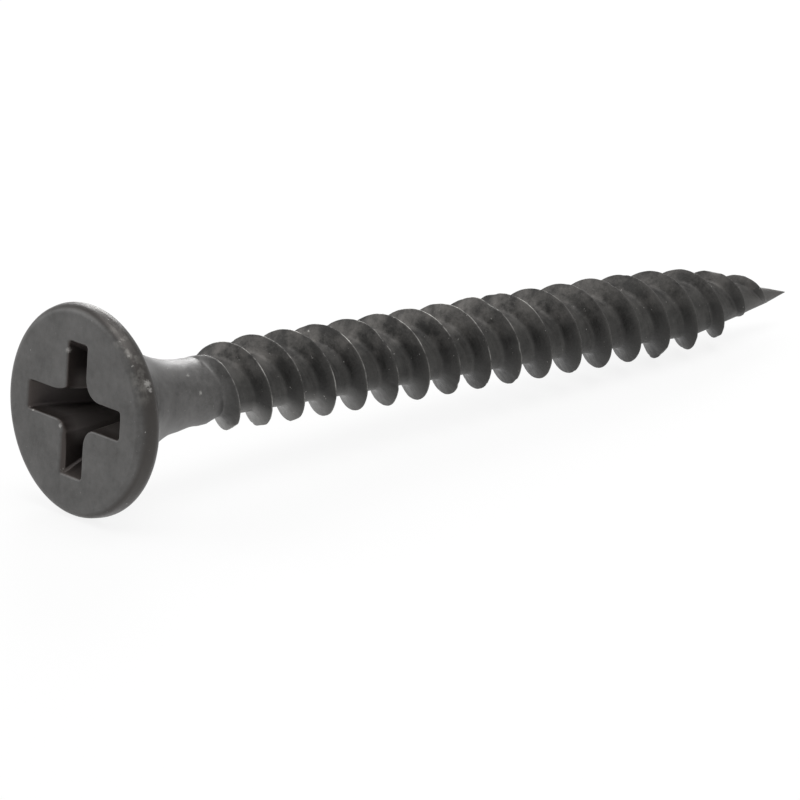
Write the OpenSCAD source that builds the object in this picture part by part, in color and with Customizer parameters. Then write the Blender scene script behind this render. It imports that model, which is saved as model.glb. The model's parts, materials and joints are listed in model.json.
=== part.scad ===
// Fine-thread drywall screw, lying as it comes to rest: the rim of the head and one thread crest near the
// point touch the surface below. The origin is the middle of the flat of the head, and the tip points to +X.
// Sizes are in millimetres. Along the screw, distances are measured from the flat of the head.

/* [Head] */
// Diameter of the head across its rim
head_d = 8.25; // [7.6:0.05:9.4]
// Depth of the rim, with both of its rounded edges
rim_h = 1.1; // [1:0.05:1.3]
// Radius of the rim's front edge, next to the flat of the head
rim_round = 0.3; // [0.1:0.05:0.4]
// Radius of the rim's back edge, from which the neck leaves
rim_back = 0.5; // [0.3:0.05:0.55]
// Distance to where the curved neck runs into the plain shank
neck_end = 5.55; // [4.6:0.05:6]

/* [Drive recess] */
// Span of the cross over two opposite wings, at the flat of the head
recess_span = 5.35; // [4.4:0.05:5.8]
// Width of one wing at the flat of the head
wing_w = 1.2; // [0.9:0.05:1.4]
// Radius of the rounded metal corner between two wings, at the flat of the head
corner_r = 0.7; // [0.3:0.05:0.8]
// Depth of the recess to the foot of its wings
recess_depth = 3; // [2:0.1:3.4]
// Slope of the wing ends towards the axis, in degrees
wing_slope = 28; // [20:1:30]
// Draft of the wing sides, in degrees
wing_draft = 4; // [1:0.5:5]
// Turn of the cross about the axis, in degrees
recess_turn = 0; // [-45:1:45]

/* [Shank] */
// Diameter of the plain shank
shank_d = 2.7; // [2.5:0.05:3.1]
// Distance to the end of the plain shank, where the thread begins
shank_end = 6.2; // [6.05:0.05:12]

/* [Thread] */
// Diameter over the crests of the thread
thread_d = 3.56; // [3.3:0.02:4.2]
// Diameter of the core between the ridges
root_d = 2.3; // [2:0.02:2.6]
// Distance along the screw from one crest to the next
crest_gap = 1.64; // [1.4:0.005:2.2]
// Number of ridges that wind round the core side by side
starts = 2; // [1:1:3]
// Width of the narrow flat on top of a crest
crest_w = 0.06; // [0.04:0.01:0.2]
// Slope of a ridge's flank against a plane square to the axis, in degrees
flank_slope = 31; // [20:0.5:35]
// Distance to the first full crest on the upper side
first_crest = 7.66; // [7:0.02:9.5]
// Length over which the core steps down from the shank to the grooves
groove_len = 0.7; // [0.4:0.1:2]
// How far before the end of the shank the ridges begin to rise
rise_lead = 0.55; // [0:0.05:0.55]
// Length over which the ridges rise to their full height
rise_len = 2.2; // [0.8:0.1:3]

/* [Point] */
// Distance from the flat of the head to the tip
screw_length = 38; // [30:0.5:60]
// Length over which the crests come in towards the tip
taper_len = 9.5; // [6:0.1:12]
// Mean angle between two opposite sides of the bare point, in degrees
point_angle = 23; // [20:0.5:40]
// Distance from the tip at which the longest ridge has died out
long_ridge_end = 1.6; // [0.3:0.1:2]
// Distance from the tip at which the other ridges have died out
short_ridge_end = 3.8; // [2.2:0.1:4.5]
// Length over which a ridge dies out
fade_len = 0.7; // [0.5:0.1:2]

/* [Hidden] */
finish_colour = "#4b4946";

head_r = head_d / 2;
shank_r = shank_d / 2;
thread_r = thread_d / 2;
root_r = root_d / 2;

// The neck is one concave arc. It leaves the rounded back edge of the rim and runs into the shank, both times
// without a corner. The middle of the arc is level with the end of the neck, and the middle of the back edge's
// own small arc is rim_back_z behind the flat of the head.
rim_back_z = rim_h - rim_back;
flare_w = head_r - shank_r - rim_back;
flare_h = neck_end - rim_back_z;
neck_r = (flare_w * flare_w + flare_h * flare_h - rim_back * rim_back) / (2 * (flare_w + rim_back));
neck_mid_r = shank_r + neck_r;
rim_meets_neck = head_r - rim_back + rim_back * (neck_r - flare_w) / (neck_r + rim_back);

// Recess: how far the cutter stands out of the flat, the blunt cone under the foot of the wings, and the straight
// stretch that a wing's side keeps at least between its rounded corner and its end
recess_over = 0.5;
foot_slope = 20;
corner_draft = 5;
corner_steps = 5;
end_land = 0.05;

// Thread: columns round the screw, and the rows of one ridge as distance from its middle and share of height.
// The core goes a little way into the shank as a collar, collar_step thinner than the shank. A ridge's foot is
// root_share of its height and runs out into the groove over root_fillet more than its flank would.
sides = 40;
lead = starts * crest_gap;
collar_step = 0.02;
collar_len = 0.6;
root_fillet = 0.1;
root_share = 0.15;
flank_run = (thread_r - root_r) * tan(flank_slope);
ridge_foot = crest_w / 2 + (1 - root_share) * flank_run;
ridge_rows = [
    [-ridge_foot - root_fillet - root_share * flank_run, 0],
    [-ridge_foot, root_share],
    [-crest_w / 2, 1],
    [crest_w / 2, 1],
    [ridge_foot, root_share],
    [ridge_foot + root_fillet + root_share * flank_run, 0]
];
row_count = len(ridge_rows);
least_spread = 0.3;
least_gap = 0.02;
thread_top = shank_end - collar_len;

// Point: the radius of its blunt end, the length of its bare side, and how strongly that side and the line over
// the crests are bowed, where 1 is straight
tip_r = 0.03;
point_len = (root_r - tip_r) / tan(point_angle / 2);
point_bow = 0.9;
taper_power = 2.65;
taper_start = screw_length - taper_len;

// Resting: the screw tips about the back of its rim's widest part until the first crest on the lower side touches.
// The crests cross the lower side half a lead further on than the upper side.
crest_count = floor((screw_length - first_crest) / crest_gap);
low_crests = [for (i = [1:crest_count - 1]) first_crest + lead / 2 + (i - starts) * crest_gap];
lie_tilt = min([for (z = low_crests) if (z > screw_length / 2 && z < screw_length) rest_angle(z)]);

function rest_angle(z) = atan((head_r - crest_r(z)) / (z - rim_back_z));

function ease(t) = let (c = max(0, min(1, t))) c * c * (3 - 2 * c);

function mix(a, b, t) = a + (b - a) * t;

// Radius of the core: the collar inside the shank, then the root of the thread, then the bowed side of the point
function point_r(z) = mix(tip_r, root_r, pow(max(0, screw_length - z) / point_len, point_bow));

function core_r(z) = min(mix(shank_r - collar_step, root_r, ease((z - shank_end) / groove_len)), point_r(z));

// Radius that a full crest reaches: straight along the thread, then bowed down to the tip
function crest_r(z) = thread_r * (1 - pow(max(0, (z - taper_start) / taper_len), taper_power));

// Share of its width that a ridge has, so that its flanks keep their slope where it is low
function spread(z) = max(least_spread, min(1, (crest_r(z) - core_r(z)) / (thread_r - root_r)));

// Share of its height that a ridge has: it rises out of the shank and dies out short of the tip, the last
// ridge later than the others
function ridge_share(z, ridge) =
    let (end = ridge == starts - 1 ? long_ridge_end : short_ridge_end)
    max(0, min(1, (z - shank_end + rise_lead) / rise_len)) * ease((screw_length - end - z) / fade_len);

function surface_r(z, share, ridge) =
    core_r(z) + share * ridge_share(z, ridge) * max(0, crest_r(z) - core_r(z));

// Cross of the recess at one depth, as a closed outline that runs round the four wings
function wing_end(z) = recess_span / 2 - z * tan(wing_slope);

function wing_side(z) = wing_w / 2 - z * tan(wing_draft);

function corner_at(z) = min(corner_r - z * tan(corner_draft), wing_end(z) - wing_side(z) - end_land);

function turned(p, a) = [p[0] * cos(a) - p[1] * sin(a), p[0] * sin(a) + p[1] * cos(a)];

function wing_points(z) =
    let (e = wing_end(z), s = wing_side(z), c = corner_at(z))
    concat(
        [[e, -s], [e, s]],
        [for (i = [0:corner_steps])
            let (a = 270 - 90 * i / corner_steps)
            [s + c + c * cos(a), s + c + c * sin(a)]]
    );

function cross_ring(z) = [
    for (k = [0:3])
        for (p = wing_points(z))
            let (q = turned(p, 90 * k))
            [q[0], q[1], z]
];

module recess_cutter() {
    ring = cross_ring(0);
    n = len(ring);
    floor_z = recess_depth + wing_end(recess_depth) * tan(foot_slope);
    points = concat(cross_ring(-recess_over), cross_ring(recess_depth), [[0, 0, floor_z]]);
    wall_faces = [for (i = [0:n - 1]) let (j = (i + 1) % n) for (f = [[i, n + i, n + j], [i, n + j, j]]) f];
    foot_faces = [for (i = [0:n - 1]) [n + i, 2 * n, n + (i + 1) % n]];
    rotate([0, 0, recess_turn + 180])
        polyhedron(points = points, faces = concat([[for (i = [0:n - 1]) i]], wall_faces, foot_faces));
}

// Half section of the head, the neck and the plain shank
module head_section() {
    square([head_r - rim_round, rim_back_z]);
    translate([0, rim_round]) square([head_r, rim_back_z - rim_round]);
    translate([head_r - rim_round, rim_round]) circle(rim_round, $fn = 60);
    translate([head_r - rim_back, rim_back_z]) circle(rim_back, $fn = 60);
    difference() {
        translate([0, rim_back_z]) square([rim_meets_neck, neck_end - rim_back_z]);
        translate([neck_mid_r, neck_end]) circle(neck_r, $fn = 180);
    }
    translate([0, neck_end]) square([shank_r, shank_end - neck_end]);
}

module head_and_shank() {
    rotate_extrude($fn = 90) head_section();
}

// Threaded core and point. Rows of points follow the ridges round the core, so every edge of the thread lies
// on a helix. A point past either end of the core, or within least_gap of it, is taken onto the end ring of its
// own column.
module threaded_core() {
    first_turn = floor((thread_top - first_crest - lead) / crest_gap) - 1;
    last_turn = ceil((screw_length - first_crest) / crest_gap) + 1;
    rows = (last_turn - first_turn + 1) * row_count;
    wrap = starts * row_count;

    function ridge_z(k, j) =
        first_crest + (first_turn + floor(k / row_count)) * crest_gap + lead * j / sides;

    function row_z(k, j) = let (z = ridge_z(k, j)) z + ridge_rows[k % row_count][0] * spread(z);

    function ridge_of(k) = let (turn = first_turn + floor(k / row_count)) ((turn % starts) + starts) % starts;

    function spot(j, z, share, ridge = 0) =
        let (r = surface_r(z, share, ridge), a = 360 * j / sides + 180)
        [r * cos(a), r * sin(a), z];

    function held_z(z) = max(thread_top, min(screw_length, z));

    function id(k, j) =
        j == sides ? id(k + wrap, 0)
        : row_z(k, j) < thread_top + least_gap ? j
        : row_z(k, j) > screw_length - least_gap ? sides + j
        : (2 + k) * sides + j;

    function facet(a, b, c) = (a == b || b == c || a == c) ? [] : [[a, b, c]];

    points = concat(
        [for (j = [0:sides - 1]) spot(j, thread_top, 0)],
        [for (j = [0:sides - 1]) spot(j, screw_length, 0)],
        [for (k = [0:rows - 1]) for (j = [0:sides - 1])
            spot(j, held_z(row_z(k, j)), ridge_rows[k % row_count][1], ridge_of(k))]
    );
    skin = [
        for (k = [0:rows - 2]) for (j = [0:sides - 1])
            let (a = id(k, j), b = id(k, j + 1), c = id(k + 1, j + 1), d = id(k + 1, j))
            for (f = concat(facet(a, d, c), facet(a, c, b))) f
    ];
    near_end = [for (j = [0:sides - 1]) j];
    far_end = [for (j = [sides - 1:-1:0]) sides + j];
    polyhedron(points = points, faces = concat([near_end, far_end], skin));
}

module screw() {
    color(finish_colour)
        rotate([0, 90 + lie_tilt, 0])
            difference() {
                union() {
                    head_and_shank();
                    threaded_core();
                }
                recess_cutter();
            }
}

screw();
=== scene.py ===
import json
import math
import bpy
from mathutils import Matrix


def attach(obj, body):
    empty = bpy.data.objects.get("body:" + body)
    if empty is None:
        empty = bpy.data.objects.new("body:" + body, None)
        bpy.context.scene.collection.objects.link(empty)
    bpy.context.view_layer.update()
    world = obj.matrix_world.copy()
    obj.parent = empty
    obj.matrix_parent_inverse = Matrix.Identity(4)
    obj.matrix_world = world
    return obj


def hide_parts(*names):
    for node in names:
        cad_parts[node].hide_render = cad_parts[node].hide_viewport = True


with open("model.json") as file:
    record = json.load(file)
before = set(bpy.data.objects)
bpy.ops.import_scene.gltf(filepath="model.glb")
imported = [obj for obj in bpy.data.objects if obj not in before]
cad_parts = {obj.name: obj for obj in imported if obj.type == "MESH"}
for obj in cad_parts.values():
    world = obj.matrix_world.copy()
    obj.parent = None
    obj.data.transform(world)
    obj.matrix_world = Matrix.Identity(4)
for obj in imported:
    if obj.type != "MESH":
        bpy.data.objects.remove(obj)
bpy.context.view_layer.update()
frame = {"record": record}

from types import SimpleNamespace

import bmesh
import bpy
from mathutils import Vector, noise

# The screw is modelled upright, in millimetres: the middle of the head's flat at the origin and the tip up
# at z = LENGTH. At the end it is brought to metres and laid down as the frame has it, the tip towards +X.
MM = 0.001

# Head, neck and plain shank
HEAD_R = 4.185
RIM_H = 1.07
RIM_ROUND = 0.38
RIM_BACK = 0.5
RIM_LEAN = math.radians(8)
NECK_END = 5.55
SHANK_R = 1.35

# What the heading left uneven: how far the head is off the axis and out of round, the skew of the rim's side
# and back, and how much fuller the neck is on its lower side, with the swell's place and its reach each way
HEAD_OFF = (0.03, 0.05)
HEAD_OVAL = 0.01
RIM_SKEW = 0.02
SKEW_START, SKEW_EASE = 0.35, 0.3
NECK_SWELL = 0.06
NECK_SWELL_AT, NECK_SWELL_REACH = 4.8, 0.75

# The slope at which the screw lies, on its rim and the crests near the point, from its axis in the frame
RECESS_AXIS = next(m["axis"] for m in frame["record"]["mounts"] if m["name"] == "drive_recess")
LIE_TILT = math.asin(RECESS_AXIS[2])

# Drive recess. The punch draws the metal in, so the mouth is rounded, and the wings are narrower below. It
# sits a little off the middle of the head. Its four corners aren't equally round: each has its reach along
# the wing before it and along the wing after it.
SPAN = 5.4
WING_ENDS = (2.7, 2.86, 2.7, 2.72)
WING_W = 1.14
CORNERS = ((0.6, 0.6), (0.95, 0.3), (0.85, 0.85), (0.62, 0.75))
WING_END_ROUND = 0.14
MOUTH_ROUND = 0.09
RECESS_OFF = -0.05
RECESS_DEPTH = 3.0
WING_SLOPE = math.radians(28)
WING_DRAFT = math.radians(4)
CORNER_DRAFT = math.radians(5)
FOOT_SLOPE = math.radians(20)
PUNCH_RISE = 0.5

# Where two wings' walls are worn back: how far and how deep, from which distance to the middle, and how far
# short of the top wing's end
WORN_WALL = 0.2
WORN_DEPTH = 0.16
WORN_START, WORN_START_EASE = 0.8, 0.5
WORN_STOP, WORN_STOP_EASE = 0.05, 0.6

# Thread and point
JOIN = 5.6
SHANK_END = 6.2
GROOVE_LEN = 0.7
THREAD_R = 1.78
ROOT_R = 1.15
GAP = 1.64
STARTS = 2
LEAD = STARTS * GAP
FIRST_CREST = 7.66
LENGTH = 38.0
TAPER_LEN = 9.5
TAPER_POWER = 2.65
LEAST_SPREAD = 0.3
TIP_R = 0.012
TIP_SLOPE = 0.255
POINT_BOW = 0.85
POINT_HALF = math.radians(11.5)
POINT_LEN = (ROOT_R - TIP_R) / math.tan(POINT_HALF)

# How much more the crests stand out in the middle of the thread, and where that starts and stops
THREAD_SWELL = 0.05
SWELL_START, SWELL_START_EASE = 7.5, 2
SWELL_STOP, SWELL_STOP_EASE = 30, 3

# How each ridge rises out of the shank and dies out: how far before SHANK_END its rise starts, the rise's
# length, and how far before the tip it ends, where both die out over FADE_LEN. The long ridge rises late and
# at once, and goes on further.
SHORT_RIDGE = (0.55, 2.2, 2.6)
LONG_RIDGE = (0.27, 0.5, 1.1)
FADE_LEN = 1.0

# The mesh of the thread: columns round the screw, ridges and turns that are wound beyond its ends, and how
# close to an end a point is brought onto it
COLUMNS = 144
RIDGES_BEFORE = 3
TURNS_BEYOND = 2
AT_END = 0.02

# One ridge in section, from the middle of its crest into the groove: offset along the screw, and share of
# the full height
HALF_RIDGE = [
    (0.0, 1.0), (0.018, 0.993), (0.034, 0.97), (0.055, 0.92), (0.105, 0.8), (0.185, 0.59), (0.265, 0.38),
    (0.33, 0.21), (0.375, 0.115), (0.425, 0.05), (0.48, 0.014), (0.54, 0.0), (0.67, 0.0),
]

# How far the last turns and the point are bent, where each bend starts, and its length
TURNS_BEND, TURNS_BEND_START, TURNS_BEND_LEN = 0.03, 30, 3
POINT_BEND, POINT_BEND_START, POINT_BEND_LEN = 0.02, LENGTH - 2.4, 2

# Unevenness that rolling leaves on the skin: depth, waves to a millimetre, and a shift between its two
# kinds. It comes in behind the join.
ROLLED_MARKS = [(0.012, 1.7, (0, 0, 0)), (0.006, 4.3, (3, 7, 1))]
MARKS_START, MARKS_EASE = JOIN + 0.1, 0.5

# Unevenness of the crests. Their line waves: depth, and waves to a millimetre. It is nicked where a second
# noise is over a level: depth, waves, level and shift. Both noises are read on a helix: its radius, and its
# step from ridge to ridge. They act from a share of the ridge's height on.
WAVE_DEPTH, WAVES = 0.012, 0.9
NICK_DEPTH, NICKS, NICK_LEVEL, NICK_SHIFT = 0.1, 2.3, 0.35, (5, 2, 9)
UNEVEN_R, UNEVEN_STEP, UNEVEN_SHARE = 1.8, 2.7, 0.3

# Where a crest is battered flat: number of the ridge's turn, place round the screw in turns, and how far the
# flat lies from the axis
FLATS = [
    (13, 0.4, 1.69), (0, 0.448, 1.76), (-1, 0.42, 1.67), (4, 0.13, 1.76), (1, 0.43, 1.77), (8, 0.05, 1.77),
    (14, 1.0, 1.32), (15, 0.43, 1.37), (16, 0.0, 1.32),
]
FLAT_REACH = 0.2

# Where a crest stands out a little, beside a flat or by itself: number of the ridge's turn, place round the
# screw in turns, and how far it stands out
BURRS = [
    (13, 0.5, 0.14), (14, 0.42, 0.04), (4, 0.42, 0.05), (6, 0.98, 0.07), (8, -0.02, 0.07), (7, 0.91, 0.05),
]
BURR_REACH = 0.08

# The worn edge of a crest: the share of the ridge's height where it starts, the height of a ridge that is
# worn in full, and the place where the wear ends, with the stretch before it over which it fades
EDGE_SHARE, WORN_HEIGHT = 0.98, 0.25
WEAR_END, WEAR_FADE = 27, 8

# Painted shade on the flanks of a ridge: where it starts, the height of a ridge that has it in full, the
# shares of the height over which it comes in at the foot and goes at the top, and how dark it is at the
# foot, with how much less at the top
FLANK_START, FLANK_EASE = FIRST_CREST - 1.3, 0.6
FLANK_HEIGHT = 0.4
FLANK_FOOT, FLANK_TOP = 0.12, 0.1
FLANK_DARK, FLANK_FADE = 1.1, 0.55

# The stretch past SHANK_END over which the skin becomes that of the rolled thread
ROLLED_EASE = 1.2

# How close two points are to count as one, and how close to a level a point is to count as on it
SAME, SAME_AT_JOIN, SAME_CORNER = 0.0002, 0.0005, 0.001
ON_LEVEL = 0.001


def clamp(v, low=0.0, high=1.0):
    return max(low, min(high, v))


def ease(t):
    t = clamp(t)
    return t * t * (3 - 2 * t)


def mix(a, b, t):
    return a + (b - a) * t


# Measures of the screw along its axis


def point_r(z):
    """Radius of the bare point, whose side is bowed outwards a little up to the straight last millimetre."""
    left = max(0.0, LENGTH - z)
    return min(mix(TIP_R, ROOT_R, (left / POINT_LEN) ** POINT_BOW), TIP_R + left * TIP_SLOPE)


def core_r(z):
    return min(mix(SHANK_R, ROOT_R, ease((z - SHANK_END) / GROOVE_LEN)), point_r(z))


def crest_r(z):
    """Radius over the crests, which stand out a little more in the middle of the thread."""
    swell = ease((z - SWELL_START) / SWELL_START_EASE) * ease((SWELL_STOP - z) / SWELL_STOP_EASE)
    taper = 1 - max(0.0, (z - LENGTH + TAPER_LEN) / TAPER_LEN) ** TAPER_POWER
    return (THREAD_R + THREAD_SWELL * swell) * taper


def spread(z):
    """Share of its width that a ridge has, so that its flanks keep their slope where it is low."""
    return clamp((crest_r(z) - core_r(z)) / (THREAD_R - ROOT_R), LEAST_SPREAD)


def turn_of(x, y):
    """Turn round the axis, 0 to 1, counted from the upper side of the screw as it lies."""
    return (math.atan2(-y, -x) / math.tau) % 1.0


def ridge_number(z, turn):
    """Number of the nearest ridge: 0 is the one that starts a turn at FIRST_CREST, and odd ones are long."""
    return round((z - FIRST_CREST - LEAD * turn) / GAP)


def ridge_share(z, number):
    """Share of its height that a ridge has between its rise out of the shank and its end near the point."""
    before, rise, end = LONG_RIDGE if number % STARTS else SHORT_RIDGE
    return ease((z - SHANK_END + before) / rise) * ease((LENGTH - end - z) / FADE_LEN)


# Small tools


def deselect():
    if bpy.context.object and bpy.context.object.mode != "OBJECT":
        bpy.ops.object.mode_set(mode="OBJECT")
    bpy.ops.object.select_all(action="DESELECT")


def take(obj):
    deselect()
    obj.select_set(True)
    bpy.context.view_layer.objects.active = obj


def apply_modifier(obj, kind, **settings):
    take(obj)
    bpy.ops.object.modifier_add(type=kind)
    modifier = obj.modifiers[-1]
    for key, value in settings.items():
        setattr(modifier, key, value)
    bpy.ops.object.modifier_apply(modifier=modifier.name)


def edit_mesh(obj, mode="EDGE"):
    take(obj)
    bpy.ops.object.mode_set(mode="EDIT")
    bpy.ops.mesh.select_mode(type=mode)


def pick(kind, test):
    """Selects the edges or faces of the mesh in edit mode that pass a test."""
    bpy.ops.mesh.select_all(action="DESELECT")
    mesh = bpy.context.object.data
    edit = bmesh.from_edit_mesh(mesh)
    for part in getattr(edit, kind):
        if test(part):
            part.select_set(True)
    bmesh.update_edit_mesh(mesh)


def at_level(part, level):
    return all(abs(v.co.z - level) < ON_LEVEL for v in part.verts)


def close_ring(level):
    """Closes the open ring at this level with one flat face."""
    pick("edges", lambda e: len(e.link_faces) < 2 and at_level(e, level))
    bpy.ops.mesh.edge_face_add()


def draw_chain(name, points):
    """A chain of edges, drawn from its first point by extruding a vertex from point to point."""
    deselect()
    bpy.ops.mesh.primitive_plane_add(size=1, location=(0, 0, 0))
    obj = bpy.context.object
    obj.name = name
    obj.data.name = name
    edit_mesh(obj, "VERT")
    bpy.ops.mesh.select_all(action="SELECT")
    bpy.ops.mesh.merge(type="CENTER")
    bpy.ops.transform.translate(value=points[0])
    for here, there in zip(points, points[1:]):
        step = Vector(there) - Vector(here)
        bpy.ops.mesh.extrude_region_move(TRANSFORM_OT_translate={"value": step})
    bpy.ops.object.mode_set(mode="OBJECT")
    return obj


def weld(obj, distance=SAME):
    edit_mesh(obj, "VERT")
    bpy.ops.mesh.select_all(action="SELECT")
    bpy.ops.mesh.remove_doubles(threshold=distance)
    bpy.ops.mesh.normals_make_consistent(inside=False)
    bpy.ops.object.mode_set(mode="OBJECT")


def arc(middle, radius, start, end, steps):
    """Points on an arc in the x-z plane, from angle start to angle end, counted from +x to +z."""
    turns = [mix(start, end, i / steps) for i in range(steps + 1)]
    return [(middle[0] + radius * math.cos(a), 0, middle[1] + radius * math.sin(a)) for a in turns]


def flat_arc(x, y, reach_x, reach_y, start, end, steps):
    """Points on an arc in the x-y plane, with its own reach each way, and its angles in degrees."""
    turns = [math.radians(mix(start, end, i / steps)) for i in range(steps + 1)]
    return [(x + reach_x * math.cos(a), y + reach_y * math.sin(a)) for a in turns]


# Head, neck and plain shank


def head_outline():
    """Half section from the edge of the flat, round the rim and along the neck to where the thread joins."""
    back = RIM_H - RIM_BACK
    flare_w = HEAD_R - SHANK_R - RIM_BACK
    flare_h = NECK_END - back
    neck_r = (flare_w ** 2 + flare_h ** 2 - RIM_BACK ** 2) / (2 * (flare_w + RIM_BACK))
    neck_mid = (SHANK_R + neck_r, NECK_END)
    rim_mid = (HEAD_R - RIM_BACK, back)
    meet = math.atan2(neck_mid[1] - rim_mid[1], neck_mid[0] - rim_mid[0])
    side_len = back - RIM_ROUND - (RIM_BACK - RIM_ROUND) * math.sin(RIM_LEAN)
    front_r = rim_mid[0] + (RIM_BACK - RIM_ROUND) * math.cos(RIM_LEAN) - side_len * math.tan(RIM_LEAN)
    front = arc((front_r, RIM_ROUND), RIM_ROUND, -math.pi / 2, -RIM_LEAN, steps=8)
    rear = arc(rim_mid, RIM_BACK, -RIM_LEAN, meet, steps=12)
    neck = arc(neck_mid, neck_r, meet - math.pi, -math.pi, steps=30)
    return front + rear + neck[1:] + [(SHANK_R, 0, 0.5 * (NECK_END + JOIN)), (SHANK_R, 0, JOIN)]


def make_head():
    head = draw_chain("screw_visual", head_outline())
    edit_mesh(head)
    bpy.ops.mesh.select_all(action="SELECT")
    bpy.ops.mesh.spin(steps=COLUMNS, angle=math.tau, center=(0, 0, 0), axis=(0, 0, 1))
    for level in (0.0, JOIN):
        close_ring(level)
    bpy.ops.object.mode_set(mode="OBJECT")
    weld(head)
    return head


def worn_back(x, z):
    """How far a wall beside the wings along x is worn back, close to the mouth."""
    reach = ease((abs(x) - WORN_START) / WORN_START_EASE)
    short_of_end = ease((WING_ENDS[2] - WORN_STOP + x) / WORN_STOP_EASE)
    return WORN_WALL * clamp(1 - z / WORN_DEPTH) * reach * short_of_end


def recess_ring(z):
    """Outline of the cross at one depth: each wing's rounded end, then the corner to the next wing."""
    side = WING_W / 2 - z * math.tan(WING_DRAFT)
    small = WING_END_ROUND
    ring = []
    for k in range(4):
        end = WING_ENDS[k] - z * math.tan(WING_SLOPE)
        along, across = (c - z * math.tan(CORNER_DRAFT) for c in CORNERS[k])
        wing = flat_arc(end - small, small - side, small, small, -90, 0, steps=4)
        wing += flat_arc(end - small, side - small, small, small, 0, 90, steps=4)
        wing += flat_arc(side + along, side + across, along, across, 270, 180, steps=8)
        for x, y in wing:
            for _ in range(k):
                x, y = -y, x
            if y > 0:
                y += worn_back(x, z)
            ring.append((x + RECESS_OFF, y))
    return ring


def make_cutter():
    """The punch that leaves the recess: the cross outline, drawn down to the foot and closed by a cone."""
    levels = (-PUNCH_RISE, 0.0, WORN_DEPTH, RECESS_DEPTH)
    rings = [recess_ring(z) for z in levels]
    cutter = draw_chain("cutter", [(x, y, levels[0]) for x, y in rings[0] + rings[0][:1]])
    edit_mesh(cutter, "VERT")
    bpy.ops.mesh.select_all(action="SELECT")
    bpy.ops.mesh.remove_doubles(threshold=SAME_CORNER)
    bpy.ops.mesh.edge_face_add()
    for i in range(1, len(levels)):
        step = (0, 0, levels[i] - levels[i - 1])
        bpy.ops.mesh.extrude_region_move(TRANSFORM_OT_translate={"value": step})
        # Each corner just drawn down moves from its place in the ring above to that in its own ring
        for v in bmesh.from_edit_mesh(cutter.data).verts:
            if v.select:
                here = tuple(v.co.xy)
                nearest = min(zip(rings[i - 1], rings[i]), key=lambda pair: math.dist(pair[0], here))
                v.co.x, v.co.y = nearest[1]
    foot = rings[-1][0][0] * math.tan(FOOT_SLOPE)
    bpy.ops.mesh.extrude_region_move(TRANSFORM_OT_translate={"value": (0, 0, foot)})
    bpy.ops.mesh.merge(type="CENTER")
    bpy.ops.mesh.select_all(action="SELECT")
    bpy.ops.mesh.normals_make_consistent(inside=False)
    bpy.ops.object.mode_set(mode="OBJECT")
    return cutter


def cut_recess(head):
    sharp = math.radians(30)
    cutter = make_cutter()
    apply_modifier(head, "BOOLEAN", operation="DIFFERENCE", solver="EXACT", object=cutter)
    bpy.data.objects.remove(cutter)
    edit_mesh(head)
    pick("edges", lambda e: at_level(e, 0.0) and e.calc_face_angle(0) > sharp)
    bpy.ops.mesh.bevel(offset=MOUTH_ROUND, segments=4, affect="EDGES")
    bpy.ops.object.mode_set(mode="OBJECT")


def finish_and_shade_layer(obj):
    """Red: bare worn edge. Green: rough rolled surface. Blue: painted shade on the flank of a ridge."""
    layer = obj.data.color_attributes.new(name="finish", type="FLOAT_COLOR", domain="POINT")
    return layer.data


def finish_head(head):
    """Sets the head a little off the axis, with an uneven rim and neck, and leaves the recess as it is."""
    clear_of_recess = 0.3
    finish = finish_and_shade_layer(head)
    for v in head.data.vertices:
        finish[v.index].color = (0.0, 0.0, 0.0, 1.0)
        if v.co.xy.length > SPAN / 2 - v.co.z * math.tan(WING_SLOPE) + clear_of_recess:
            near = 1 - ease(v.co.z / NECK_END)
            v.co.z += RIM_SKEW * (v.co.x - v.co.y) * ease((v.co.z - SKEW_START) / SKEW_EASE) * near
            v.co.x += near * (HEAD_OFF[0] + HEAD_OVAL * v.co.x)
            v.co.y += near * (HEAD_OFF[1] - HEAD_OVAL * v.co.y)
            lower_side = ease(v.co.x / SHANK_R)
            v.co.x += NECK_SWELL * lower_side * ease(1 - abs(v.co.z - NECK_SWELL_AT) / NECK_SWELL_REACH)


# Thread and point


def ridge_rows():
    """One lead of the thread in section, as points that the screw modifier winds round the core."""
    rows = []
    for ridge in range(STARTS):
        rows += [(ridge * GAP - o, s) for o, s in reversed(HALF_RIDGE[1:])]
        rows += [(ridge * GAP + o, s) for o, s in HALF_RIDGE]
    rows.append((rows[0][0] + LEAD, rows[0][1]))
    return rows


def make_thread():
    low = FIRST_CREST - LEAD / 2 - RIDGES_BEFORE * GAP
    turns = math.ceil((LENGTH - low) / LEAD) + TURNS_BEYOND
    rows = ridge_rows()
    thread = draw_chain("thread", [(mix(ROOT_R, THREAD_R, s), 0, low + z) for z, s in rows])
    apply_modifier(
        thread, "SCREW", axis="Z", angle=math.tau, screw_offset=LEAD, iterations=turns, steps=COLUMNS,
        render_steps=COLUMNS,
    )
    shape_thread(thread)
    weld(thread)
    edit_mesh(thread)
    close_ring(LENGTH)
    bpy.ops.object.mode_set(mode="OBJECT")
    return thread


def shape_thread(thread):
    """Lets the ridges rise out of the shank and die out at the point. A vertex's radius says which share of
    the height it has, and all that lies past an end is gathered on that end's ring."""
    finish = finish_and_shade_layer(thread)
    for v in thread.data.vertices:
        x, y, z = v.co
        r = math.hypot(x, y)
        turn = turn_of(x, y)
        share = clamp((r - ROOT_R) / (THREAD_R - ROOT_R))
        number = ridge_number(z, turn)
        crest = FIRST_CREST + number * GAP + LEAD * turn
        z = crest + (z - crest) * spread(crest)
        z = JOIN if z < JOIN + AT_END else LENGTH if z > LENGTH - AT_END else z
        height = ridge_share(z, number) * max(0.0, crest_r(z) - core_r(z))
        new = ridge_r(z, share, height, number, turn) + rolled_marks(x, y, z)
        v.co = Vector((x / r * new + tip_bend(z), y / r * new, z))
        finish[v.index].color = ridge_finish_and_shade(z, share, height)


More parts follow.
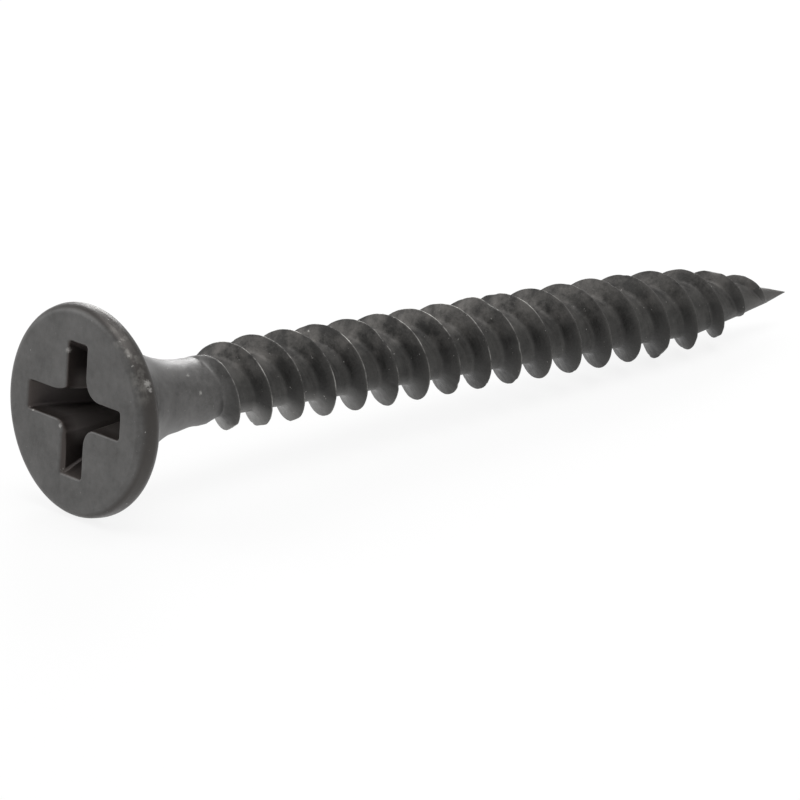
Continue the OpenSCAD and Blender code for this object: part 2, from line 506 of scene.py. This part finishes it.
def ridge_r(z, share, height, number, turn):
    """Radius at one share of a ridge's height, with what is worn off, battered flat or raised as a burr."""
    base = core_r(z)
    lack = worn_off(number, turn, share) * height / (THREAD_R - ROOT_R)
    return min(base + share * height - lack, max(base, flat_r(number, turn))) + share * burr(number, turn)


def ridge_finish_and_shade(z, share, height):
    """Worn edge, rolled skin and painted shade on the flank at one share of a ridge's height."""
    edge = clamp((share - EDGE_SHARE) / (1 - EDGE_SHARE)) * clamp(height / WORN_HEIGHT)
    edge *= ease((WEAR_END - z) / WEAR_FADE)
    # Painted shade on the flank, darkest at its foot
    flank = clamp(share / FLANK_FOOT) * clamp((1 - share) / FLANK_TOP) * (FLANK_DARK - FLANK_FADE * share)
    flank *= clamp(height / FLANK_HEIGHT) * ease((z - FLANK_START) / FLANK_EASE)
    return edge, clamp((z - SHANK_END) / ROLLED_EASE), flank, 1.0


def tip_bend(z):
    """The last turns and the point are bent a little towards the lower side."""
    turns = TURNS_BEND * ease((z - TURNS_BEND_START) / TURNS_BEND_LEN)
    return turns + POINT_BEND * ease((z - POINT_BEND_START) / POINT_BEND_LEN)


def rolled_marks(x, y, z):
    """Small unevenness that rolling leaves, none at either end."""
    here = Vector((x, y, z))
    level = sum(depth * noise.noise(here * waves + Vector(shift)) for depth, waves, shift in ROLLED_MARKS)
    return level * clamp((z - MARKS_START) / MARKS_EASE) * clamp(LENGTH - z)


def worn_off(number, turn, share):
    """How much a crest lacks at one place: it waves a little along its length, and is nicked in places."""
    if share < UNEVEN_SHARE:
        return 0.0
    round_axis = math.tau * turn
    along = number * UNEVEN_STEP + turn * LEAD
    here = Vector((math.cos(round_axis) * UNEVEN_R, math.sin(round_axis) * UNEVEN_R, along))
    nick = max(0.0, noise.noise(here * NICKS + Vector(NICK_SHIFT)) - NICK_LEVEL)
    lack = WAVE_DEPTH * noise.noise(here * WAVES) + NICK_DEPTH * nick
    return lack * (share - UNEVEN_SHARE) / (1 - UNEVEN_SHARE)


def flat_r(number, turn):
    """Radius at which a battered flat cuts the ridge off, or more than the full one where there is none."""
    for which, middle, distance in FLATS:
        off = abs(turn - middle)
        if which == number and off < FLAT_REACH:
            return distance / math.cos(math.tau * off)
    return THREAD_R + 1


def burr(number, turn):
    """How far a crest stands out at one place."""
    return sum(out * ease(1 - abs(turn - at) / BURR_REACH) for which, at, out in BURRS if which == number)


# The whole screw


def join(parts):
    take(parts[0])
    for p in parts:
        p.select_set(True)
    bpy.ops.object.join()
    return parts[0]


def open_ring(obj, level):
    """Takes out the flat face that closes the head where the thread joins it."""
    edit_mesh(obj, "FACE")
    pick("faces", lambda f: at_level(f, level))
    bpy.ops.mesh.delete(type="ONLY_FACE")
    bpy.ops.object.mode_set(mode="OBJECT")


def lay_down(obj):
    take(obj)
    obj.rotation_euler = (0, math.pi / 2 + LIE_TILT, 0)
    obj.scale = (MM, MM, MM)
    bpy.ops.object.transform_apply(location=True, rotation=True, scale=True)


head = make_head()
cut_recess(head)
open_ring(head, JOIN)
finish_head(head)
thread = make_thread()
screw = join([head, thread])
weld(screw, SAME_AT_JOIN)
lay_down(screw)
take(screw)
bpy.ops.object.shade_smooth_by_angle(angle=math.radians(40))
apply_modifier(screw, "WEIGHTED_NORMAL", mode="FACE_AREA", weight=80, keep_sharp=True)

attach(screw, "root")
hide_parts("screw")


# Finish of the screw, with painted shade and light, and all places on the upright screw in millimetres

# Tones of the phosphate on the flat of the head, the shank and the thread: its darker and its paler spots
FLAT_TONES = ("#474645", "#605f5e")
SHANK_TONES = ("#4d4c4b", "#6b6a69")
ROLLED_TONES = ("#2d2c2b", "#51504e")

# Tones on the thread: painted shade on the top of its roots and on its flanks; paler patches on its upper
# side, partly settled dust and partly painted light; painted light below the first turns and painted shade
# below the last turns; the point; and painted shadow where the first ridges leave the shank
ROOT_TOP_SHADE, FLANK_SHADE, DUST_AND_TOP_LIGHT = "#343333", "#242322", "#74716e"
BELOW_FIRST_LIGHT, BELOW_LAST_SHADE, POINT, START_SHADOW = "#7a7977", "#242322", "#6b6967", "#2a2827"

# Tones on the head: painted shade on the side of the rim and in the recess at its mouth and below it, and
# painted light at its foot; then the rubbed stretch of the rim, partly wear and partly a painted highlight,
# and bare steel anywhere, also used for painted glints
RIM_SIDE_SHADE, MOUTH_SHADE, DEEP_SHADE, FOOT_LIGHT = "#36322f", "#413a37", "#3a3534", "#625d5b"
RUBBED_AND_HIGHLIGHT, BARE_AND_GLINT = "#7f7d79", "#c9c7c3"

# Where these change along the screw: skin of the neck, painted shade on the side of the rim, painted light
# below the first turns and painted shade below the last turns, and paler point
NECK_SKIN = 1.2
RIM_SIDE_END = 1.3
FIRST_TURNS = 9
LAST_TURNS = 24
POINT_SKIN = 34.4

# Zones of the head: how wide the painted shade on the side of the rim is, how far past its outline the
# recess counts, the depths where its mouth and its deep part start, the radius of its foot, and the place
# of the side wings' lower walls, which get the same painted light as the foot
RIM_SIDE_W = 0.24
RECESS_PAST = 0.35
MOUTH_START, DEEP_START = 0.01, 0.2
FOOT_R = 1.7
LOWER_WALL_X, LOWER_WALL_Y = 0.35, 0.62

# The stretch of the rim that is rubbed bare in patches, partly wear and partly a painted highlight: its
# middle, its reach, and its band on the rim
RUBBED_AT, RUBBED_REACH = (-2.7, -3.1, 0.3), 1.9
RUBBED_W, RUBBED_END = 0.4, 0.7

# Small bare flecks on the mouth of the recess, the rim and the shank: place and size
FLECKS = [
    ((-2.3, 0.62, 0.1), 0.14), ((-2.33, 0.3, 0.1), 0.1), ((0.77, 0.81, 0.0), 0.1), ((0.52, 2.52, 0.0), 0.08),
    ((2.5, 0.6, 0.03), 0.09), ((-1.91, -3.61, 0.55), 0.18), ((-1.68, -3.72, 0.6), 0.12),
    ((-3.29, -2.27, 0.2), 0.08), ((-2.83, -2.81, 0.2), 0.08), ((-2.52, -3.1, 0.2), 0.07),
    ((-0.99, -0.92, 4.85), 0.1), ((-0.35, -1.3, 5.25), 0.09), ((-0.63, -1.19, 4.5), 0.08),
]

# Painted shadow where the first ridges leave the shank: place and size
START_SHADOWS = [((1.05, -1.05, 6.9), 0.5), ((1.0, -0.6, 8.4), 0.2)]


class Shade:
    """A value in a material. It wraps one socket, and Python's operators on it add Math nodes."""

    def __init__(self, tree, socket=None):
        self.tree = tree
        self.socket = socket

    def node(self, kind, settings=None, *values, **named):
        """Adds a node: its settings first, then the values or links of its sockets, by order or by name."""
        node = self.tree.nodes.new("ShaderNode" + kind)
        for key, value in (settings or {}).items():
            setattr(node, key, value)
        for key, value in [*enumerate(values), *named.items()]:
            socket = node.inputs[key.replace("_", " ") if isinstance(key, str) else key]
            if isinstance(value, Shade):
                self.tree.links.new(value.socket, socket)
            elif value is not None:
                socket.default_value = value
        return Shade(self.tree, node.outputs[0])

    def out(self, key):
        return Shade(self.tree, self.socket.node.outputs[key])

    def math(self, operation, *values):
        return self.node("Math", {"operation": operation}, self, *values)

    def clamp(self):
        return self.node("Clamp", None, self)

    def __add__(self, other):
        return self.math("ADD", other)

    __radd__ = __add__

    def __mul__(self, other):
        return self.math("MULTIPLY", other)

    __rmul__ = __mul__

    def __sub__(self, other):
        return self.math("SUBTRACT", other)

    def __rsub__(self, other):
        return self.node("Math", {"operation": "SUBTRACT"}, other, self)

    def __truediv__(self, other):
        return self.math("DIVIDE", other)

    def past(self, start, slope):
        """0 up to a start, then rising to 1 at a slope. With a slope below 0 it falls to 0 there."""
        return ((self - start) * slope).clamp()

    def near(self, place, reach):
        """How far the point lies inside the reach of a place."""
        return reach - self.node("VectorMath", {"operation": "DISTANCE"}, self, place).out(1)


def linear(code):
    """A colour written as six hex digits, as the linear values that Blender takes."""
    parts = [int(code[i:i + 2], 16) / 255 for i in (1, 3, 5)]
    return tuple(c / 12.92 if c <= 0.04045 else ((c + 0.055) / 1.055) ** 2.4 for c in parts) + (1,)


def new_material(name):
    material = bpy.data.materials.new(name)
    material.use_nodes = True
    tree = material.node_tree
    return material, Shade(tree), tree.nodes["Principled BSDF"]


def blend(factor, low, high):
    """Mixes two colours, given as hex digits or as wires."""
    low, high = (linear(c) if isinstance(c, str) else c for c in (low, high))
    return factor.node(
        "Mix", {"data_type": "RGBA", "clamp_factor": True}, factor, None, None, None, None, None, low, high
    ).out(2)


def find_zones(maker):
    """Where a point lies on the upright screw, and its share in each zone of finish and painted light."""
    lying = maker.node("TexCoord").out("Object")
    upright = maker.node(
        "Mapping", {"vector_type": "POINT"}, Vector=lying, Rotation=(0, -(math.pi / 2 + LIE_TILT), 0),
        Scale=(1 / MM, 1 / MM, 1 / MM),
    )
    x = maker.node("SeparateXYZ", None, upright)
    y, z = x.out(1), x.out(2)
    radius = (x * x + y * y).math("SQRT")
    finish = maker.node("SeparateColor", None, maker.node("Attribute", {"attribute_name": "finish"}))
    rolled = finish.out(1)
    in_recess = (radius + z * math.tan(WING_SLOPE)).math("LESS_THAN", SPAN / 2 + RECESS_PAST)
    deep = z.past(DEEP_START, 2.2) * in_recess
    lower_wall = x.past(LOWER_WALL_X, 8) * y.math("ABSOLUTE").past(LOWER_WALL_Y, 8)
    return SimpleNamespace(
        upright=upright, x=x, y=y, z=z, radius=radius,
        edge=finish.out(0), rolled=rolled, flank=finish.out(2),
        in_recess=in_recess, mouth=z.past(MOUTH_START, 20) * in_recess, deep=deep,
        foot=(radius.past(FOOT_R, -2) + lower_wall).clamp() * deep,
        above=(x * -1 / radius).past(0.3, 1.6) * rolled, below=(x / radius).past(0.35, 1.8) * rolled,
        rim_side=radius.past(HEAD_R - RIM_SIDE_W, 8) * z.past(RIM_SIDE_END, -4),
    )


def make_grains(maker, on):
    """The noises of the finish, from large to small. Streaks run along the thread's helix."""
    turn = (on.y * -1).math("ARCTAN2", on.x * -1) * (1 / math.tau)
    helix = maker.node("CombineXYZ", None, on.x * 0.9, on.y * 0.9, (on.z - turn * LEAD) * 7)

    def grain(scale, detail=3.0, roughness=0.5, vector=on.upright):
        return maker.node("TexNoise", None, Vector=vector, Scale=scale, Detail=detail, Roughness=roughness)

    return SimpleNamespace(
        mottle=grain(0.7, 4.0), patches=grain(1.3, 5.0, 0.65), rubs=grain(1.7, 3.0, 0.6),
        lumps=grain(3.6, 4.0, 0.6), specks=grain(7.0, 2.0).past(0.725, 14), crystal=grain(22.0, 2.0, 0.6),
        streaks=grain(1.0, 3.0, 0.6, helix),
    )


def plain_colour(on, grains):
    """The phosphate before wear and dirt, in one tone each for the flat, the shank and the thread."""
    flat = blend(grains.mottle * 1.8 + grains.lumps * 1.1 + grains.crystal * 0.4 - 1.15, *FLAT_TONES)
    tone = grains.mottle * 2.0 + grains.lumps * 1.6 + grains.crystal * 0.6 - 1.6
    rolled = blend(tone * 0.6 + grains.streaks * 1.2 + grains.patches * 1.2 - 0.95, *ROLLED_TONES)
    colour = blend(on.z.past(NECK_SKIN, 1.5), flat, blend(tone, *SHANK_TONES))
    return blend(on.rolled, colour, rolled)


def thread_colour(on, grains, colour):
    """Paints shade on roots and flanks, top patches of dust and painted light, and a shadow at the start."""
    # Painted shade on the roots along the upper side of the thread
    colour = blend(on.above * (1 - on.flank) * 0.3, colour, ROOT_TOP_SHADE)
    # Painted shade on the flanks, less of it on the upper side
    colour = blend(on.flank * (0.84 - on.above * 0.6), colour, FLANK_SHADE)
    # Paler patches on the upper side of the thread: partly settled dust, partly painted light from above
    dust_and_top_light = on.above * grains.patches.past(0.4, 4) * (1 - on.z.past(LAST_TURNS, 0.03))
    colour = blend(dust_and_top_light * (0.5 + on.flank * 0.3), colour, DUST_AND_TOP_LIGHT)
    # Painted light below the first turns, and painted shade below the last turns
    colour = blend(on.below * (1 - on.z.past(FIRST_TURNS, 0.09)) * 0.8, colour, BELOW_FIRST_LIGHT)
    colour = blend(on.below * on.z.past(LAST_TURNS, 0.12) * 0.3, colour, BELOW_LAST_SHADE)
    colour = blend(on.z.past(POINT_SKIN, 0.6) * (1 - on.flank) * 0.5, colour, POINT)
    # Painted shadow where the first ridges leave the shank
    for place, size in START_SHADOWS:
        start_shadow = (on.upright.near(place, size) + (grains.lumps - 0.5) * size) * (2 / size)
        colour = blend(start_shadow.clamp() * 0.6, colour, START_SHADOW)
    return colour


def head_colour(on, grains, colour):
    """Paints shade on the rim's side and in the recess, light on its foot, and rubs one stretch of the rim.
    """
    # Painted shade on the side of the rim
    colour = blend(on.rim_side * 0.8, colour, RIM_SIDE_SHADE)
    # Painted shade in the recess, from its mouth down
    colour = blend(on.mouth * 0.9, colour, MOUTH_SHADE)
    colour = blend(on.deep * 0.9, colour, DEEP_SHADE)
    # Painted light at the foot of the recess and on the side wings' lower walls
    colour = blend(on.foot * 0.9, colour, FOOT_LIGHT)
    # Partly wear, partly a painted highlight on this stretch of the rim
    rubbed_and_highlight = on.radius.past(HEAD_R - RUBBED_W, 5) * on.z.past(RUBBED_END, -4)
    rubbed_and_highlight = rubbed_and_highlight * (on.upright.near(RUBBED_AT, RUBBED_REACH) * 1.2).clamp()
    return blend(rubbed_and_highlight * grains.rubs.past(0.46, 5) * 0.7, colour, RUBBED_AND_HIGHLIGHT)


def bare_metal_and_glints(on, grains, colour):
    """Bare steel on worn crests and flecks, more on top as a painted highlight, and specks as painted
    glints.
    """
    # More bare steel on the upper side of the crests: a painted highlight; the specks are painted glints
    crests = on.edge * (0.3 + on.above * 0.45) * (grains.patches * 7.0 - 3.0)
    bare_and_glint = crests.clamp() + grains.specks * (1 - on.in_recess) * 0.5
    flecks = 0.0
    for place, size in FLECKS:
        fleck = (on.upright.near(place, size) + (grains.crystal - 0.5) * size * 2) * (1.5 / size)
        flecks = flecks + fleck.clamp()
    return blend(bare_and_glint.math("MAXIMUM", flecks * 0.45), colour, BARE_AND_GLINT)


def skin_roughness(on, grains):
    """Matt all over, and more so on top of the thread, in its roots and on the neck and shank."""
    rough = 0.4 + (grains.lumps - 0.5) * 0.3 + (grains.streaks - 0.5) * on.rolled * 0.2 + on.above * 0.14
    rough = rough + on.rolled * (1 - on.flank) * 0.14
    return rough + on.z.past(NECK_SKIN, 1.5) * (1 - on.rolled) * 0.07


def phosphate():
    """Matt dark phosphate. The marks left by rolling run along the thread's helix."""
    material, maker, skin = new_material("phosphated_steel")
    on = find_zones(maker)
    grains = make_grains(maker, on)
    colour = thread_colour(on, grains, plain_colour(on, grains))
    colour = bare_metal_and_glints(on, grains, head_colour(on, grains, colour))
    height = grains.crystal * 0.3 + grains.lumps * (0.4 + on.rolled * 0.6) + grains.streaks * on.rolled * 0.8
    bump = maker.node("Bump", None, Strength=0.5, Distance=0.03 * MM, Height=height)
    feeds = {
        "Base Color": colour, "Metallic": 0.55 - on.foot * 0.45, "Roughness": skin_roughness(on, grains),
        "Normal": bump,
    }
    for name, wire in feeds.items():
        maker.tree.links.new(wire.socket, skin.inputs[name])
    return material


screw.data.materials.clear()
screw.data.materials.append(phosphate())


# Floor, light and camera

# Size and middle of the floor in metres, and its own tone and roughness
FLOOR_SIZE, FLOOR_X = 4, 0.02
FLOOR_TONE, FLOOR_ROUGH = 0.87, 0.9

# How white the floor and the room look to the camera and in reflections, and how much light the room gives
FLOOR_SEEN = 0.86
FLOOR_MIRRORED = 0.9
ROOM = 0.4
ROOM_MIRRORED = 0.75

# Softboxes: name, place and width in metres, and power in watts. All point at the middle of the screw.
SCREW_MIDDLE = (0.019, 0, -0.0014)
SOFTBOXES = [
    ("back_softbox", (0.2, 0.19, 0.12), 0.12, 0.4),
    ("left_softbox", (-0.24, 0.32, 0.2), 0.3, 0.5),
    ("top_softbox", (0.05, -0.05, 0.6), 0.5, 2.4),
]

# Camera: azimuth and elevation in degrees; what it looks at, its distance and the sideways and upward move
# of the frame in millimetres; the focal length in pixels of an 800-pixel frame; and the sensor's width
AZIMUTH, ELEVATION = -41.174, 18.246
LOOK_AT, DISTANCE = (18.9, 0, -1.4), 339.99
ASIDE, UP = -1.6623, -2.1231
FOCAL_PX, FRAME_PX, SENSOR = 8500, 800, 36


def pale_floor():
    """A plain matt surface that takes the object's shadow, and that camera and reflections see as white."""
    material, maker, skin = new_material("pale_floor")
    skin.inputs["Base Color"].default_value = (FLOOR_TONE, FLOOR_TONE, FLOOR_TONE, 1)
    skin.inputs["Roughness"].default_value = FLOOR_ROUGH
    path = maker.node("LightPath")
    seen = path.out("Is Camera Ray") * FLOOR_SEEN
    mirrored = (path.out("Is Glossy Ray") + path.out("Is Transmission Ray")) * FLOOR_MIRRORED
    white = maker.node("Emission", None, Color=(1, 1, 1, 1), Strength=1.0)
    plain = Shade(maker.tree, skin.outputs[0])
    shown = maker.node("MixShader", None, seen + mirrored, plain, white)
    maker.tree.links.new(shown.socket, maker.tree.nodes["Material Output"].inputs["Surface"])
    return material


def studio_world():
    """A plain room: dim as a light, white behind the object and in reflections."""
    world = bpy.data.worlds.new("studio")
    world.use_nodes = True
    maker = Shade(world.node_tree)
    path = maker.node("LightPath")
    mirrored = path.out("Is Glossy Ray") + path.out("Is Transmission Ray")
    strength = ROOM + path.out("Is Camera Ray") * (1 - ROOM) + mirrored * (ROOM_MIRRORED - ROOM)
    background = world.node_tree.nodes["Background"]
    background.inputs["Color"].default_value = (1, 1, 1, 1)
    world.node_tree.links.new(strength.socket, background.inputs["Strength"])
    return world


def soft_lamp(name, place, width, power):
    deselect()
    bpy.ops.object.light_add(type="AREA", location=place)
    lamp = bpy.context.object
    lamp.name = name
    lamp.data.size = width
    lamp.data.energy = power
    lamp.rotation_euler = (Vector(SCREW_MIDDLE) - Vector(place)).to_track_quat("-Z", "Y").to_euler()


def add_camera():
    a, e = math.radians(AZIMUTH), math.radians(ELEVATION)
    back = Vector((math.sin(a) * math.cos(e), -math.cos(a) * math.cos(e), math.sin(e)))
    right = Vector((math.cos(a), math.sin(a), 0))
    upward = back.cross(right)
    eye = (Vector(LOOK_AT) + back * DISTANCE + right * ASIDE + upward * UP) * MM
    deselect()
    bpy.ops.object.camera_add(location=eye)
    camera = bpy.context.object
    camera.rotation_euler = (-back).to_track_quat("-Z", "Y").to_euler()
    camera.data.sensor_width = SENSOR
    camera.data.lens = FOCAL_PX / FRAME_PX * SENSOR
    camera.data.clip_start = 0.01
    camera.data.clip_end = 20
    bpy.context.scene.camera = camera


deselect()
floor_z = min(v.co.z for v in screw.data.vertices)
bpy.ops.mesh.primitive_plane_add(size=FLOOR_SIZE, location=(FLOOR_X, 0, floor_z))
floor = bpy.context.object
floor.name = "floor"
floor.data.materials.append(pale_floor())

bpy.context.scene.view_settings.view_transform = "Standard"
bpy.context.scene.world = studio_world()
for name, place, width, power in SOFTBOXES:
    soft_lamp(name, place, width, power)
add_camera()
